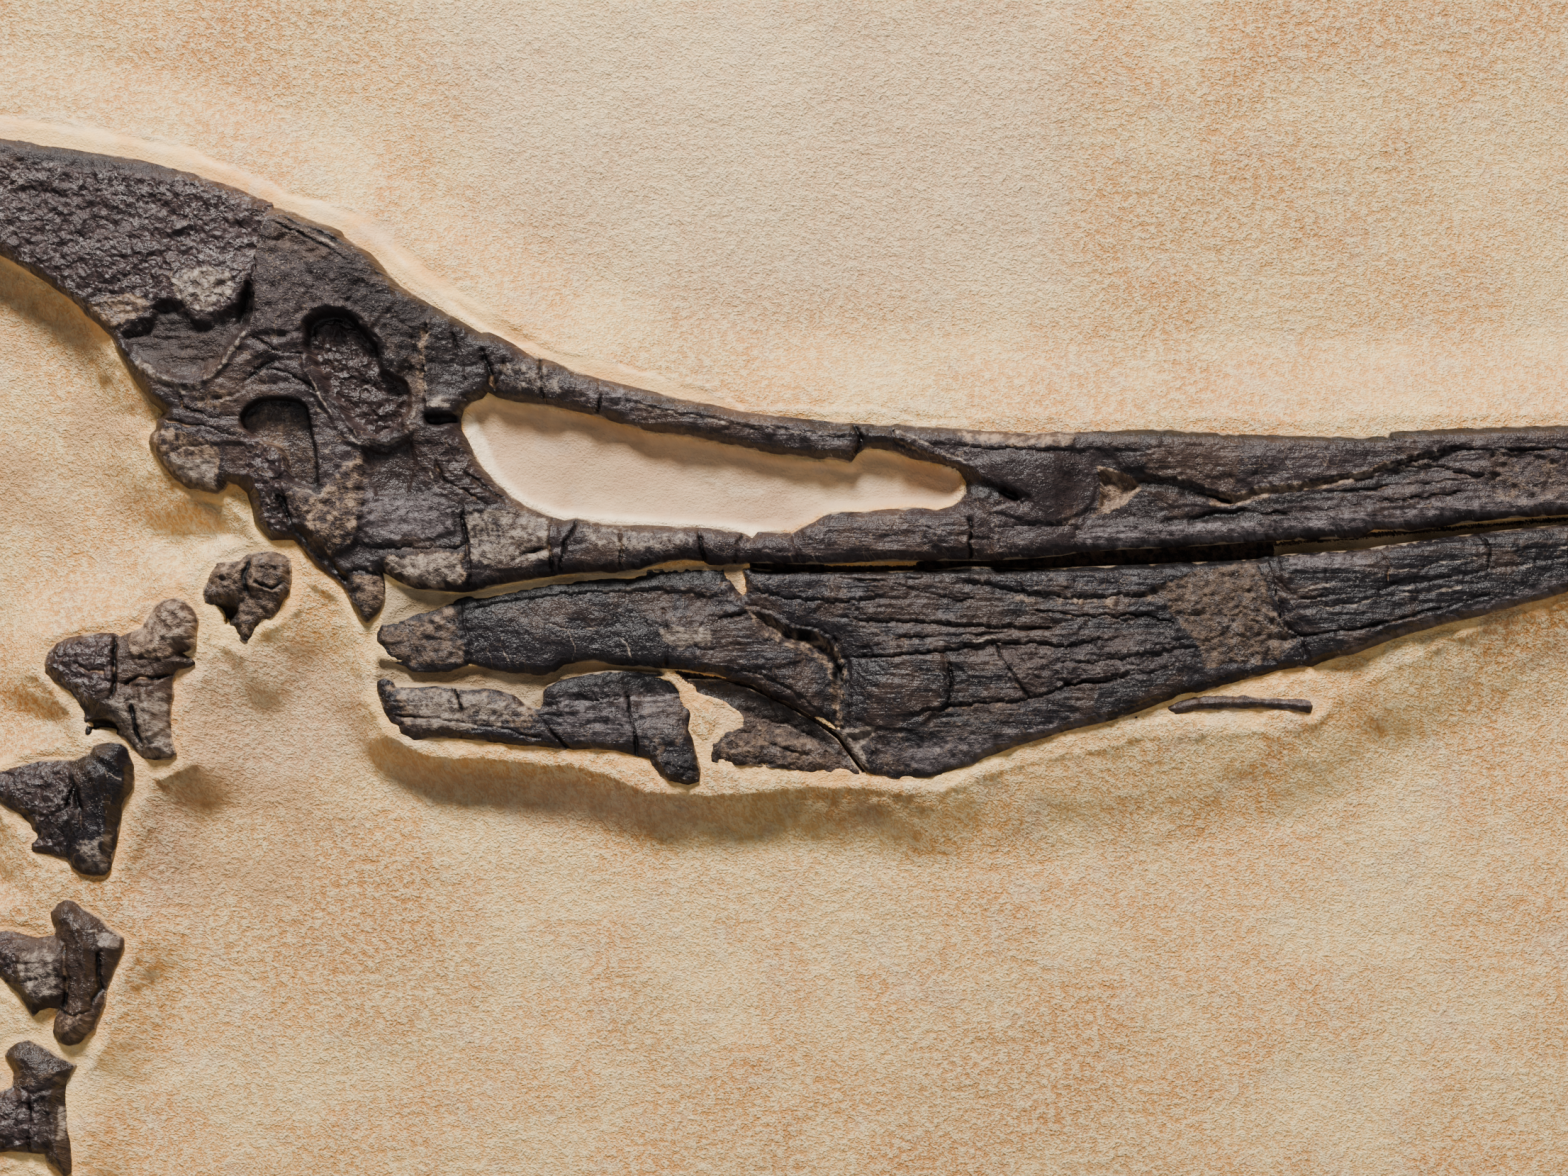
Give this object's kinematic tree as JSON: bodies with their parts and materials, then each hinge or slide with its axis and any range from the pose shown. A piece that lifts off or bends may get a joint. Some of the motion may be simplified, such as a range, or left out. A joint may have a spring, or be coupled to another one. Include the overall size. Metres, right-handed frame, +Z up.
{
  "type": "fossil pteranodon skeleton",
  "caption": "Fossil skull, lower jaw and neck bones of a crested pterosaur, dark brown in relief in a pale chalk slab that lies flat.",
  "frame": {"origin": "centre of the slab's rectangular footprint, on its flat underside", "axes": "+X along the slab from the crest to the tip of the beak, +Y across it towards the top of the skull, +Z up out of the face that shows the bones"},
  "size_m": [1.47, 0.68, 0.0732],
  "materials": {
    "matrix": "rough cream chalk and plaster, smooth close to the bones",
    "dark_bone": "satin brown-black, cracked, with pale worn patches",
    "brown_bone": "rough brown with pale granular patches"
  },
  "bodies": {
    "root": {"matrix_slab": "matrix", "skull": "dark_bone", "lower_jaw": "dark_bone", "rear_jaw_fragment": "dark_bone", "front_jaw_fragment": "dark_bone", "hyoid_rod": "dark_bone", "axis_vertebra": "brown_bone", "neck_vertebra_3": "brown_bone", "neck_vertebra_4": "brown_bone", "neck_vertebra_5": "brown_bone", "neck_vertebra_6": "brown_bone", "neck_vertebra_7": "brown_bone"}
  },
  "joints": []
}
